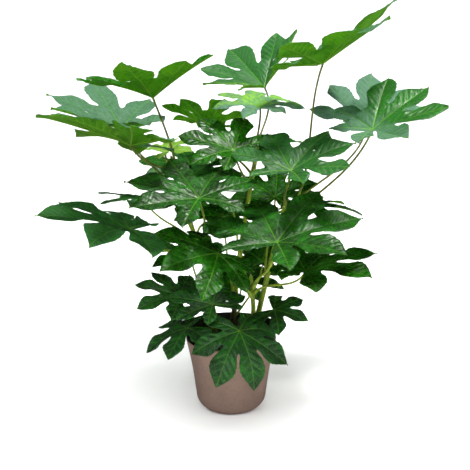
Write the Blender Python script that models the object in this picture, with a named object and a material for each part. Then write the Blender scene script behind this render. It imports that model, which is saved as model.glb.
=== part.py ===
"""A potted Fatsia japonica: a cover pot, a nursery pot with soil, five canes and their leaves.

Metres, +Z up. The origin is the middle of the cover pot's flat underside. The picture's front is -Y.
"""
import random
from math import cos, pi, radians, sin

import bmesh
import bpy
from mathutils import Vector

GAP = 0.0003
UP = Vector((0, 0, 1))

# Cover pot: a flat foot, a round bottom and a wall that opens to a thin lip.
POT_HEIGHT = 0.185
POT_FOOT_RADIUS = 0.056
POT_BELLY_RADIUS = 0.091
POT_BELLY_Z = 0.040
POT_LIP_RADIUS = 0.1165
POT_MIDDLE_RADIUS = 0.1015
POT_MIDDLE_Z = 0.110
POT_WALL = 0.006
POT_FLOOR = 0.010
POT_INNER_FOOT_RADIUS = 0.070
POT_LIP_ROUND = 0.0015
POT_SIDES = 36

# Nursery pot: a tapered shell with a wider band round its mouth, standing on the cover pot's floor.
NURSERY_FOOT_RADIUS = 0.068
NURSERY_NECK_RADIUS = 0.106
NURSERY_BAND_RADIUS = 0.114
NURSERY_LIP_RADIUS = 0.121
NURSERY_BAND_Z = 0.187
NURSERY_TOP_Z = 0.215
NURSERY_WALL = 0.0018

# Soil: it fills the nursery pot to 14 mm below the rim, and the canes stand in holes in it.
SOIL_TOP_Z = 0.201
SOIL_FLAT_RADIUS = 0.067
SOIL_EDGE_DROP = 0.002
SOIL_EDGE_SPREAD = 0.002
CANE_DEPTH = 0.050
HOLE_SIDES = 16

# Canes: each rises straight out of its hole, then bends, and ends in a pointed bud.
CANE_SIDES = 8
CANE_RINGS = 7
CANE_STRAIGHT = 0.006
BUD_LENGTH = 0.012

# Leaf blade. Shares of the leaf's reach, which is the length of its middle lobe.
BLADE_THICKNESS = 0.0008
LOBE_LENGTHS = (1.0, 0.97, 0.86, 0.60)
LOBE_SPACING = {5: 57.0, 7: 46.0}
LOBE_WIDTH = {5: 0.252, 7: 0.214}
LOBE_SLIMMING = 0.75
SINUS = 0.43
NOTCH = 0.06
SHOULDER_REACH = 0.52
SHOULDER_SPREAD = 0.38
LOBE_ROWS = (0.62, 0.77, 0.90)
LOBE_OUTLINE = ((0.0, 0.76), (0.20, 0.88), (0.42, 1.0), (0.62, 0.88), (0.82, 0.46), (1.0, 0.0))
PLEAT = 0.03
WAVE = 0.022
WAVE_TURNS = 9.0
WAVE_SHIFT = 1.3
WAVE_GROWTH = 4.0
YOUNG_REACH = 0.087

# Leaf stalk.
STALK_TOP_RADIUS = 0.0024
STALK_FOOT_RADIUS = 0.0032
STALK_RINGS = 4
STALK_ENTRY = 52.0
STALK_LEAN = 48.0
STALK_PULL = 0.35

# Each cane: radius at the soil, radius at the top, and the points that it grows through above its foot.
CANES = {
    "cane_left": (0.0080, 0.0050, ((-0.045, 0.000), (-0.057, 0.000, 0.330), (-0.102, 0.005, 0.480),
                                   (-0.147, 0.005, 0.640))),
    "cane_back": (0.0080, 0.0050, ((0.005, 0.050), (0.018, 0.065, 0.350), (0.043, 0.075, 0.520),
                                   (0.068, 0.070, 0.660))),
    "cane_right": (0.0080, 0.0050, ((0.062, 0.010), (0.088, 0.010, 0.320), (0.113, 0.005, 0.430),
                                    (0.136, 0.000, 0.530))),
    "cane_front": (0.0070, 0.0050, ((0.045, -0.040), (0.056, -0.040, 0.260), (0.053, -0.042, 0.310),
                                    (0.050, -0.045, 0.350))),
    "cane_low": (0.0060, 0.0040, ((-0.040, -0.050), (-0.036, -0.052, 0.240), (-0.042, -0.054, 0.270),
                                  (-0.046, -0.055, 0.300))),
}

# Each leaf: its cane and the height where its stalk leaves it, the place where stalk meets blade,
# the middle lobe's compass heading (0 is +X, 90 is +Y) and its pitch, the blade's roll, the reach,
# the rise of the lobes at the middle (cup), how far they bend down to their tips (droop), the lobes.
LEAVES = {
    "leaf_01": ("cane_left", 0.600, (-0.177, -0.100, 0.782), 263, -14, 4, 0.195, 33, 8, 7),
    "leaf_02": ("cane_left", 0.560, (-0.280, 0.060, 0.714), 174, 12, -15, 0.212, 20, 10, 7),
    "leaf_03": ("cane_left", 0.590, (-0.217, -0.180, 0.675), 186, 8, 6, 0.213, 13, 12, 7),
    "leaf_04": ("cane_left", 0.620, (-0.162, 0.010, 0.658), 20, 18, 10, 0.086, 18, 30, 5),
    "leaf_05": ("cane_back", 0.600, (-0.064, 0.150, 0.726), 246, 20, 0, 0.138, 18, 10, 7),
    "leaf_06": ("cane_back", 0.640, (0.091, 0.200, 0.832), 105, 14, -29, 0.208, 32, 6, 7),
    "leaf_07": ("cane_back", 0.620, (0.071, -0.020, 0.765), 100, 22, 0, 0.135, 16, 36, 7),
    "leaf_08": ("cane_right", 0.500, (0.220, -0.020, 0.867), 331, 14, 10, 0.232, 18, 0, 7),
    "leaf_09": ("cane_right", 0.510, (0.356, 0.100, 0.731), 77, 27, 5, 0.182, 24, 14, 7),
    "leaf_10": ("cane_right", 0.480, (0.317, -0.140, 0.710), 12, 24, 20, 0.174, 16, 10, 7),
    "leaf_11": ("cane_right", 0.525, (0.134, -0.170, 0.620), 55, 27, 7, 0.172, 16, 18, 7),
    "leaf_12": ("cane_right", 0.330, (0.120, 0.140, 0.535), 82, 36, 0, 0.152, 8, 20, 7),
    "leaf_13": ("cane_back", 0.560, (0.006, -0.080, 0.664), 130, 34, -20, 0.138, 12, 20, 7),
    "leaf_14": ("cane_left", 0.440, (-0.066, -0.235, 0.565), 120, 22, -12, 0.176, 10, 20, 7),
    "leaf_15": ("cane_back", 0.225, (0.086, 0.125, 0.356), 78, 27, 0, 0.138, 6, 26, 7),
    "leaf_16": ("cane_front", 0.325, (0.098, -0.262, 0.475), 56, 24, 4, 0.200, 12, 16, 7),
    "leaf_17": ("cane_front", 0.310, (0.173, -0.150, 0.390), 8, 12, 7, 0.168, 14, 18, 7),
    "leaf_18": ("cane_right", 0.235, (0.109, -0.046, 0.268), 334, -8, 20, 0.088, 8, 30, 5),
    "leaf_19": ("cane_left", 0.380, (-0.234, -0.138, 0.486), 209, 13, -13, 0.210, 8, 22, 7),
    "leaf_20": ("cane_left", 0.420, (-0.242, 0.160, 0.525), 172, 8, 0, 0.130, 8, 24, 7),
    "leaf_21": ("cane_low", 0.250, (-0.132, 0.000, 0.293), 178, 12, -14, 0.128, 10, 16, 7),
    "leaf_22": ("cane_front", 0.300, (-0.027, -0.217, 0.443), 220, 0, -30, 0.144, 2, 18, 7),
    "leaf_23": ("cane_low", 0.240, (-0.044, -0.110, 0.300), 130, 22, -8, 0.118, 8, 22, 7),
    "leaf_24": ("cane_low", 0.215, (-0.107, -0.070, 0.228), 188, -15, -8, 0.124, 8, 34, 5),
    "leaf_25": ("cane_front", 0.240, (0.020, -0.166, 0.252), 296, -36, 7, 0.148, -4, 34, 7),
    "leaf_26": ("cane_left", 0.235, (-0.110, 0.115, 0.375), 115, 20, 0, 0.128, 6, 26, 7),
    "leaf_27": ("cane_back", 0.520, (0.068, 0.270, 0.660), 75, 14, 0, 0.190, 12, 34, 7),
    "leaf_28": ("cane_left", 0.540, (-0.110, 0.250, 0.590), 110, 32, 0, 0.185, 10, 30, 7),
    "leaf_29": ("cane_back", 0.270, (-0.022, 0.267, 0.464), 102, 24, 0, 0.176, 8, 28, 7),
    "leaf_30": ("cane_right", 0.380, (0.200, 0.165, 0.496), 34, 6, 0, 0.168, 12, 36, 7),
    "leaf_31": ("cane_back", 0.215, (0.028, 0.160, 0.290), 92, 22, 0, 0.150, 6, 30, 7),
    "leaf_32": ("cane_left", 0.400, (-0.127, 0.050, 0.522), 130, 18, 0, 0.100, 10, 20, 7),
    "leaf_33": ("cane_front", 0.340, (-0.002, -0.040, 0.532), 235, -4, 0, 0.090, 8, 28, 7),
}

LEAF_GREEN = (0.035, 0.135, 0.022)
YOUNG_GREEN = (0.120, 0.300, 0.030)
CANE_BROWN = (0.150, 0.125, 0.050)
POT_MAUVE = (0.215, 0.140, 0.108)
NURSERY_BLACK = (0.012, 0.012, 0.013)
SOIL_BROWN = (0.022, 0.016, 0.012)


def remove_everything():
    for thing in list(bpy.data.objects):
        bpy.data.objects.remove(thing, do_unlink=True)


def material(name, colour, roughness):
    mat = bpy.data.materials.new(name)
    mat.use_nodes = True
    shader = mat.node_tree.nodes["Principled BSDF"]
    shader.inputs["Base Color"].default_value = (*colour, 1)
    shader.inputs["Roughness"].default_value = roughness
    shader.inputs["Metallic"].default_value = 0.0
    return mat


def add_object(name, points, faces, mat, smooth_angle=40.0):
    mesh = bpy.data.meshes.new(name)
    mesh.from_pydata([tuple(p) for p in points], [], faces)
    bm = bmesh.new()
    bm.from_mesh(mesh)
    bmesh.ops.recalc_face_normals(bm, faces=bm.faces)
    bm.to_mesh(mesh)
    bm.free()
    mesh.materials.append(mat)
    mesh.shade_smooth()
    mesh.set_sharp_from_angle(angle=radians(smooth_angle))
    thing = bpy.data.objects.new(name, mesh)
    bpy.context.collection.objects.link(thing)
    return thing


def turned(name, profile, sides, mat):
    """A closed solid turned about +Z from (radius, height) points that start and end on the axis."""
    points = [Vector((0, 0, profile[0][1]))]
    for radius, height in profile[1:-1]:
        points += [Vector((radius * cos(2 * pi * i / sides), radius * sin(2 * pi * i / sides), height))
                   for i in range(sides)]
    points.append(Vector((0, 0, profile[-1][1])))
    last = len(points) - 1
    faces = []
    for i in range(sides):
        j = (i + 1) % sides
        faces.append((0, 1 + j, 1 + i))
        for row in range(len(profile) - 3):
            low, high = 1 + row * sides, 1 + (row + 1) * sides
            faces.append((low + i, low + j, high + j, high + i))
        faces.append((last, last - sides + i, last - sides + j))
    return add_object(name, points, faces, mat)


def quarter_turn(start, end, steps):
    """Points of a quarter ellipse that leaves start level and reaches end upright."""
    return [(start[0] + (end[0] - start[0]) * sin(pi / 2 * i / steps),
             end[1] + (start[1] - end[1]) * cos(pi / 2 * i / steps)) for i in range(steps + 1)]


def make_pots():
    clay = material("pot clay", POT_MAUVE, 0.75)
    outside = quarter_turn((POT_FOOT_RADIUS, 0), (POT_BELLY_RADIUS, POT_BELLY_Z), 6)
    inside = quarter_turn((POT_INNER_FOOT_RADIUS, POT_FLOOR), (POT_BELLY_RADIUS - POT_WALL, POT_BELLY_Z), 4)
    lip_z = POT_HEIGHT - POT_LIP_ROUND
    lip = [(POT_LIP_RADIUS, lip_z), (POT_LIP_RADIUS - POT_WALL / 2, POT_HEIGHT),
           (POT_LIP_RADIUS - POT_WALL, lip_z)]
    profile = [(0, 0), *outside, (POT_MIDDLE_RADIUS, POT_MIDDLE_Z), *lip,
               (POT_MIDDLE_RADIUS - POT_WALL, POT_MIDDLE_Z), *reversed(inside), (0, POT_FLOOR)]
    turned("pot", profile, POT_SIDES, clay)

    plastic = material("nursery plastic", NURSERY_BLACK, 0.45)
    floor = POT_FLOOR + GAP
    wall = NURSERY_WALL
    shelf = NURSERY_BAND_Z
    shell = [(0, floor), (NURSERY_FOOT_RADIUS, floor), (NURSERY_NECK_RADIUS, shelf),
             (NURSERY_BAND_RADIUS, shelf),
             (NURSERY_LIP_RADIUS, NURSERY_TOP_Z), (NURSERY_LIP_RADIUS - wall, NURSERY_TOP_Z),
             (NURSERY_BAND_RADIUS - wall, shelf + wall), (NURSERY_NECK_RADIUS - wall, shelf + wall),
             (NURSERY_FOOT_RADIUS - wall, floor + wall), (0, floor + wall)]
    turned("nursery_pot", shell, POT_SIDES, plastic)


def make_soil():
    peat = material("soil peat", SOIL_BROWN, 0.95)
    low = POT_FLOOR + GAP + NURSERY_WALL + GAP
    foot = NURSERY_FOOT_RADIUS - NURSERY_WALL - 2 * GAP
    neck = NURSERY_NECK_RADIUS - NURSERY_WALL - 3 * GAP
    band = NURSERY_BAND_RADIUS - NURSERY_WALL - GAP
    shelf = NURSERY_BAND_Z + NURSERY_WALL + GAP
    profile = [(0, low), (foot, low), (neck, shelf), (band, shelf),
               (band + SOIL_EDGE_SPREAD, SOIL_TOP_Z - SOIL_EDGE_DROP),
               (SOIL_FLAT_RADIUS, SOIL_TOP_Z), (0, SOIL_TOP_Z)]
    soil = turned("soil", profile, POT_SIDES, peat)
    for name, (foot_radius, _, route) in CANES.items():
        x, y = route[0]
        cut = bpy.data.meshes.new(name + "_hole")
        bm = bmesh.new()
        radius = (foot_radius + GAP) / cos(pi / HOLE_SIDES)
        bmesh.ops.create_cone(bm, cap_ends=True, segments=HOLE_SIDES, radius1=radius, radius2=radius,
                              depth=2 * (CANE_DEPTH + GAP))
        bm.to_mesh(cut)
        bm.free()
        cutter = bpy.data.objects.new(name + "_hole", cut)
        bpy.context.collection.objects.link(cutter)
        cutter.location = (x, y, SOIL_TOP_Z)
        cutter.hide_render = True
        cutter.display_type = "WIRE"
        hole = soil.modifiers.new(name + " hole", "BOOLEAN")
        hole.operation = "DIFFERENCE"
        hole.object = cutter


def smooth_curve(points, count):
    """Points at even shares of a Catmull-Rom curve through the given ones."""
    ends = [points[0] * 2 - points[1], *points, points[-1] * 2 - points[-2]]
    spans = len(points) - 1
    curve = []
    for i in range(count + 1):
        along = spans * i / count
        span = min(int(along), spans - 1)
        a, b, c, d = ends[span:span + 4]
        t = along - span
        curve.append(0.5 * (2 * b + (c - a) * t + (2 * a - 5 * b + 4 * c - d) * t * t
                            + (3 * b - a - 3 * c + d) * t ** 3))
    return curve


def cane_route(name):
    """The cane's centre line: straight up out of its hole, then through its own points."""
    foot_radius, top_radius, route = CANES[name]
    x, y = route[0]
    foot = Vector((x, y, SOIL_TOP_Z - CANE_DEPTH + GAP))
    surface = Vector((x, y, SOIL_TOP_Z + CANE_STRAIGHT))
    above = smooth_curve([surface, *(Vector(p) for p in route[1:])], CANE_RINGS)
    return [foot, *above], foot_radius, top_radius


def make_cane(name, bark):
    route, foot_radius, top_radius = cane_route(name)
    points = []
    rings = len(route)
    for i, centre in enumerate(route):
        radius = foot_radius + (top_radius - foot_radius) * max(0, i - 1) / (rings - 2)
        angles = [2 * pi * k / CANE_SIDES for k in range(CANE_SIDES)]
        points += [centre + Vector((radius * cos(t), radius * sin(t), 0)) for t in angles]
    faces = [tuple(range(CANE_SIDES))]
    for i in range(rings - 1):
        for k in range(CANE_SIDES):
            j = (k + 1) % CANE_SIDES
            a, b = i * CANE_SIDES, (i + 1) * CANE_SIDES
            faces += [(a + k, a + j, b + j), (a + k, b + j, b + k)]
    bud = len(points)
    points.append(route[-1] + (route[-1] - route[-2]).normalized() * BUD_LENGTH)
    top = (rings - 1) * CANE_SIDES
    faces += [(top + k, top + (k + 1) % CANE_SIDES, bud) for k in range(CANE_SIDES)]
    add_object(name, points, faces, bark)


def cane_at(name, height):
    """The cane's centre, direction and radius at a height."""
    route, foot_radius, top_radius = cane_route(name)
    for i in range(1, len(route) - 1):
        low, high = route[i], route[i + 1]
        if height <= high.z or i == len(route) - 2:
            share = min(1.0, (height - low.z) / (high.z - low.z))
            along = (i - 1 + share) / (len(route) - 2)
            radius = foot_radius + (top_radius - foot_radius) * along
            return low.lerp(high, share), (high - low).normalized(), radius
    raise ValueError(name)


def leaf_axes(heading, pitch, roll):
    """The blade's own axes: forward along the middle lobe, left, and up from its top face."""
    h, p, r = radians(heading), radians(pitch), radians(roll)
    forward = Vector((cos(p) * cos(h), cos(p) * sin(h), sin(p)))
    level_left = Vector((-sin(h), cos(h), 0))
    level_up = forward.cross(level_left)
    return forward, level_left * cos(r) + level_up * sin(r), level_up * cos(r) - level_left * sin(r)


def outline_width(share):
    for (a, wa), (b, wb) in zip(LOBE_OUTLINE, LOBE_OUTLINE[1:]):
        if share <= b:
            return wa + (wb - wa) * (share - a) / (b - a)
    return 0.0


def lobes_of(leaf, seed):
    """Each lobe's angle, length, start slope, bend, sweep and wave, varied by a seeded draw."""
    _, _, _, _, _, _, reach, cup, droop, count = leaf
    draw = random.Random(seed)
    half = count // 2
    lobes = []
    for k in range(-half, half + 1):
        lobes.append({
            "angle": radians(k * LOBE_SPACING[count] + draw.uniform(-3, 3)),
            "length": reach * LOBE_LENGTHS[abs(k)] * draw.uniform(0.95, 1.04),
            "rise": radians(cup + draw.uniform(-6, 6)),
            "bend": radians(max(4.0, droop + draw.uniform(-9, 9))),
            "sweep": radians(draw.uniform(-5, 5)),
            "keel": draw.uniform(-0.05, 0.30),
            "wave": draw.uniform(0, 2 * pi),
        })
    return lobes


def rib_point(lobe, share):
    """A point on the lobe's midrib in the blade's own axes. The rib is an arc that rises and bends over."""
    rise, bend = lobe["rise"], lobe["bend"]
    out = lobe["length"] * (sin(rise) - sin(rise - bend * share)) / bend
    high = lobe["length"] * (cos(rise - bend * share) - cos(rise)) / bend
    angle = lobe["angle"] + lobe["sweep"] * share * share
    return Vector((out * cos(angle), out * sin(angle), high))


def edge_point(lobe, share, side, reach, width):
    """A point on the lobe's left (side 1) or right (side -1) edge."""
    rib = rib_point(lobe, share)
    along = (rib_point(lobe, share + 0.01) - rib_point(lobe, share - 0.01)).normalized()
    across = Vector((-along.y, along.x, 0)).normalized() * side
    tau = (share - SINUS) / (1 - SINUS)
    reach_out = width * outline_width(tau) * (lobe["length"] / reach) ** LOBE_SLIMMING
    swell = WAVE * reach * min(1.0, WAVE_GROWTH * tau)
    ripple = swell * sin(lobe["wave"] + side * WAVE_SHIFT + WAVE_TURNS * share)
    return rib + across * reach_out + UP * (lobe["keel"] * reach_out + ripple)


def blade_surface(leaf, seed):
    """The blade's middle surface: its points, its triangles and the ring where the stalk meets it."""
    reach, count = leaf[6], leaf[9]
    lobes = lobes_of(leaf, seed)
    width = LOBE_WIDTH[count] * reach
    points = []
    faces = []

    def put(point):
        points.append(point)
        return len(points) - 1

    ring = [put(Vector((cos(lobe["angle"]), sin(lobe["angle"]), 0)) * STALK_TOP_RADIUS) for lobe in lobes]
    back = put(Vector((-STALK_TOP_RADIUS, 0, 0)))
    notch = put(Vector((-NOTCH * reach, 0, 0)))
    ribs = [put(rib_point(lobe, SINUS)) for lobe in lobes]
    sinuses = []
    for one, other in zip(lobes, lobes[1:]):
        low, high = rib_point(one, SINUS), rib_point(other, SINUS)
        middle = (low + high) / 2
        middle = middle * (low.length / middle.length)
        sinuses.append(put(middle + UP * PLEAT * reach))
    ends = ((lobes[0], -1), (lobes[-1], 1))
    outer = [put(edge_point(lobe, SINUS, side, reach, width)) for lobe, side in ends]
    shoulders = [put(Vector((p.x * SHOULDER_REACH, p.y * SHOULDER_SPREAD, p.z * SHOULDER_SPREAD)))
                 for p in (points[outer[0]], points[outer[1]])]

    last = len(lobes) - 1
    faces += [(back, notch, shoulders[0]), (back, shoulders[0], ring[0]), (ring[0], shoulders[0], outer[0]),
              (ring[0], outer[0], ribs[0])]
    for k in range(last):
        faces += [(ring[k], ribs[k], sinuses[k]), (ring[k], sinuses[k], ring[k + 1]),
                  (ring[k + 1], sinuses[k], ribs[k + 1])]
    faces += [(ring[last], ribs[last], outer[1]), (ring[last], outer[1], shoulders[1]),
              (ring[last], shoulders[1], back), (back, shoulders[1], notch)]

    for k, lobe in enumerate(lobes):
        right = outer[0] if k == 0 else sinuses[k - 1]
        left = outer[1] if k == last else sinuses[k]
        rib = ribs[k]
        for share in LOBE_ROWS:
            new_right = put(edge_point(lobe, share, -1, reach, width))
            new_rib = put(rib_point(lobe, share))
            new_left = put(edge_point(lobe, share, 1, reach, width))
            faces += [(right, new_right, rib), (rib, new_right, new_rib)]
            faces += [(rib, new_rib, left), (left, new_rib, new_left)]
            right, rib, left = new_right, new_rib, new_left
        tip = put(rib_point(lobe, 1.0))
        faces += [(right, tip, rib), (rib, tip, left)]
    return points, faces, [back, *ring]


def vertex_normals(points, faces):
    normals = [Vector((0, 0, 0)) for _ in points]
    for a, b, c in faces:
        flat = (points[b] - points[a]).cross(points[c] - points[a])
        for corner in (a, b, c):
            normals[corner] += flat
    return [n.normalized() for n in normals]


def stalk_route(leaf, axes, foot, outward):
    """The stalk's centre line from the blade down to the cane, as points of one Bezier curve."""
    join = Vector(leaf[2])
    forward, _, up = axes
    entry = radians(STALK_ENTRY)
    leaving = -(forward * cos(entry) + up * sin(entry))
    lean = radians(STALK_LEAN)
    growing = outward * cos(lean) + UP * sin(lean)
    pull = (join - foot).length * STALK_PULL
    a, b, c, d = join, join + leaving * pull, foot + growing * pull, foot
    route = []
    for i in range(1, STALK_RINGS + 1):
        t = i / STALK_RINGS
        route.append(a * (1 - t) ** 3 + b * 3 * t * (1 - t) ** 2 + c * 3 * t * t * (1 - t) + d * t ** 3)
    return route


def make_leaf(name, leaf, seed, mat):
    """One leaf: a thin lobed blade, the same triangles on both faces, and its stalk, in one closed mesh."""
    cane, height, place, heading, pitch, roll = leaf[:6]
    axes = leaf_axes(heading, pitch, roll)
    forward, left, up = axes
    join = Vector(place)
    flat_points, faces, ring = blade_surface(leaf, seed)
    middle = [join + forward * p.x + left * p.y + up * p.z for p in flat_points]
    normals = vertex_normals(middle, faces)
    for i in ring:
        normals[i] = up
    half = BLADE_THICKNESS / 2
    count = len(middle)
    points = [p + n * half for p, n in zip(middle, normals)] + [p - n * half for p, n in zip(middle, normals)]
    solid = list(faces) + [(c + count, b + count, a + count) for a, b, c in faces]

    edges = [edge for a, b, c in faces for edge in ((a, b), (b, c), (c, a))]
    known = set(edges)
    rim = set(ring)
    for a, b in edges:
        if (b, a) not in known and not (a in rim and b in rim):
            solid += [(b, a, a + count), (b, a + count, b + count)]

    crown = len(points)
    points.append(join + up * half)
    sides = len(ring)
    solid += [(crown, ring[i], ring[(i + 1) % sides]) for i in range(sides)]

    centre, grain, cane_radius = cane_at(cane, height)
    away = join - centre
    away = (away - grain * away.dot(grain)).normalized()
    foot = centre + away * (cane_radius + GAP)
    route = stalk_route(leaf, axes, foot, away)
    upper = [i + count for i in ring]
    angles = [pi] + [lobe["angle"] for lobe in lobes_of(leaf, seed)]
    first_axis = forward
    before = join
    for i, centre in enumerate(route):
        along = away if i + 1 == len(route) else (before - route[i + 1]).normalized()
        first_axis = (first_axis - along * first_axis.dot(along)).normalized()
        second_axis = along.cross(first_axis)
        radius = STALK_TOP_RADIUS + (STALK_FOOT_RADIUS - STALK_TOP_RADIUS) * (i + 1) / len(route)
        lower = list(range(len(points), len(points) + sides))
        points += [centre + (first_axis * cos(t) + second_axis * sin(t)) * radius for t in angles]
        for k in range(sides):
            j = (k + 1) % sides
            solid += [(upper[j], upper[k], lower[k]), (upper[j], lower[k], lower[j])]
        upper = lower
        before = centre
    solid += [(upper[0], upper[i + 1], upper[i]) for i in range(1, sides - 1)]
    add_object(name, points, solid, mat)


def make_plant():
    bark = material("cane bark", CANE_BROWN, 0.7)
    for name in CANES:
        make_cane(name, bark)
    mature = material("leaf green", LEAF_GREEN, 0.35)
    young = material("young leaf green", YOUNG_GREEN, 0.40)
    for seed, (name, leaf) in enumerate(LEAVES.items(), start=1):
        make_leaf(name, leaf, seed, young if leaf[6] < YOUNG_REACH else mature)


remove_everything()
make_pots()
make_soil()
make_plant()
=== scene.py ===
"""The dressed model of a potted Fatsia japonica: finer leaves, canes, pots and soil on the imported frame.

Metres, +Z up, the same frame as the solids. The camera looks from -Y, as in the picture.
"""
import random
from collections import namedtuple
from math import cos, pi, radians, sin

import bpy
import numpy as np
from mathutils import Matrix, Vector


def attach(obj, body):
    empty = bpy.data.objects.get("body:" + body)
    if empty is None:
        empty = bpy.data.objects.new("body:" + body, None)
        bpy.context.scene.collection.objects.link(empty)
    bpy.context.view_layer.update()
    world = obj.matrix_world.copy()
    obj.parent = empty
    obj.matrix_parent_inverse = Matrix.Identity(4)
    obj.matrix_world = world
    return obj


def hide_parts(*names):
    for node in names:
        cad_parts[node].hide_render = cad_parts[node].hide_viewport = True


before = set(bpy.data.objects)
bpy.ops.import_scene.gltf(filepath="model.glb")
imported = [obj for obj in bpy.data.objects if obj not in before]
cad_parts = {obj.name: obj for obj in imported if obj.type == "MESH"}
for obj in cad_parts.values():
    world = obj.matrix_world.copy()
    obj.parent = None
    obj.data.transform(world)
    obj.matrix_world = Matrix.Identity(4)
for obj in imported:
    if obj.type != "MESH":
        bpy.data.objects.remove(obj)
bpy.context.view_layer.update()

GAP = 0.0003
UP = Vector((0, 0, 1))

# Pots and soil, as in the solids, and their finer form.
POT_HEIGHT = 0.185
POT_FOOT_RADIUS = 0.056
POT_BELLY_RADIUS = 0.091
POT_BELLY_Z = 0.040
POT_LIP_RADIUS = 0.1165
POT_MIDDLE_RADIUS = 0.1015
POT_MIDDLE_Z = 0.110
POT_WALL = 0.006
POT_FLOOR = 0.010
POT_INNER_FOOT_RADIUS = 0.070
POT_LIP_ROUND = 0.0015
POT_SIDES = 144
NURSERY_FOOT_RADIUS = 0.068
NURSERY_NECK_RADIUS = 0.106
NURSERY_BAND_RADIUS = 0.114
NURSERY_LIP_RADIUS = 0.121
NURSERY_BAND_Z = 0.187
NURSERY_TOP_Z = 0.215
NURSERY_WALL = 0.0018
NURSERY_CORNER = 0.001
NURSERY_LIP_ROUND = 0.0009
NURSERY_BEAD = ((-0.0012, -0.0040), (-0.0010, -0.0035), (0.0, -0.0028))
NURSERY_FOLD_ANGLE = 50
SOIL_TOP_Z = 0.201
SOIL_RINGS = 32
SOIL_WAVES = 26
SOIL_WAVE_NUMBERS = (60, 260)
SOIL_FLARE = 0.002
SOIL_LUMP = 0.00055
SOIL_SINK = 0.0015
CRUMBS = 420
CRUMB_SINK = 0.0008
CRUMB_SIZES = (0.0015, 0.0042)

# Canes, as in the solids, and their finer scars and buds.
CANE_DEPTH = 0.050
CANE_RINGS = 7
CANE_STRAIGHT = 0.006
CANE_FINE_RINGS = 90
CANE_SIDES = 16
SCAR_HALF_HEIGHT = 0.0028
SCAR_SWELLING = 0.045
SCAR_PALENESS = 0.8
BUD_PALENESS = 0.9
FIRST_SCAR = 0.012
SCAR_SPACING = (0.011, 0.022)
BUD_STEPS = ((0.003, 0.86), (0.006, 0.62), (0.009, 0.36), (0.012, 0.06))

# Leaf blade, in shares of the leaf's reach, and stalk, both as in the solids.
LOBE_LENGTHS = (1.0, 0.97, 0.86, 0.60)
LOBE_SPACING = {5: 57.0, 7: 46.0}
LOBE_WIDTH = {5: 0.252, 7: 0.214}
LOBE_SLIMMING = 0.75
SINUS = 0.43
NOTCH = 0.06
SHOULDER_REACH = 0.52
SHOULDER_SPREAD = 0.38
LOBE_OUTLINE = ((0.0, 0.76), (0.20, 0.88), (0.42, 1.0), (0.62, 0.88), (0.82, 0.46), (1.0, 0.0))
PLEAT = 0.03
WAVE = 0.022
WAVE_TURNS = 9.0
WAVE_SHIFT = 1.3
WAVE_GROWTH = 4.0
YOUNG_REACH = 0.087
STALK_TOP_RADIUS = 0.0024
STALK_FOOT_RADIUS = 0.0032
STALK_ENTRY = 52.0
STALK_LEAN = 48.0
STALK_PULL = 0.35

# Finer form of the stalk.
STALK_STEPS = 26
STALK_SIDES = 12
STALK_TOP_FLARE = 0.18
STALK_FOOT_FLARE = 0.30

# Finer form of the blade: rows along each lobe, places of the columns across half a lobe, and relief.
INNER_ROWS = 10
OUTER_ROWS = 34
COLUMNS = (0.0, 0.03, 0.09, 0.18, 0.31, 0.46, 0.62, 0.78, 0.91, 1.0)
ROW_CROWDING = 1.15
SHEET = 0.0006
SAG = 0.008
SINUS_ROUNDING = 0.013
SINUS_OPENING = 0.016
SINUS_FADE = 0.16
SINUS_BLEND = 0.13
TEETH = 8
TOOTH_DEPTH = 0.06
TOOTH_RISE = 0.72
TOOTH_LEVEL = 0.55
FRILL = 0.004
FRILL_TURNS = 31.0
QUILT = 0.0030
QUILT_FREE = 0.010
VEIN_PITCH = 0.017
VEIN_SLANT = 0.95
RIB_HEIGHT = 0.0011
RIB_GROOVE = 0.45
RIB_HALF_WIDTH = 0.0016
CRINKLE = 0.0005
CRINKLE_WAVES = 7
CRINKLE_LENGTHS = (0.011, 0.024)
WELD_STEP = 2e-6

# Each cane, as in the solids: its radius at the foot and at the top, the place of its hole in the soil,
# and the points that its centre line passes through above.
CANES = {
    "cane_left": (0.0080, 0.0050, ((-0.045, 0.000), (-0.057, 0.000, 0.330), (-0.102, 0.005, 0.480),
                                   (-0.147, 0.005, 0.640))),
    "cane_back": (0.0080, 0.0050, ((0.005, 0.050), (0.018, 0.065, 0.350), (0.043, 0.075, 0.520),
                                   (0.068, 0.070, 0.660))),
    "cane_right": (0.0080, 0.0050, ((0.062, 0.010), (0.088, 0.010, 0.320), (0.113, 0.005, 0.430),
                                    (0.136, 0.000, 0.530))),
    "cane_front": (0.0070, 0.0050, ((0.045, -0.040), (0.056, -0.040, 0.260), (0.053, -0.042, 0.310),
                                    (0.050, -0.045, 0.350))),
    "cane_low": (0.0060, 0.0040, ((-0.040, -0.050), (-0.036, -0.052, 0.240), (-0.042, -0.054, 0.270),
                                  (-0.046, -0.055, 0.300))),
}

# How old a cane is: an old one stays brown to a greater height.
CANE_AGES = {"cane_left": 0.6, "cane_back": 0.4}

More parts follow.
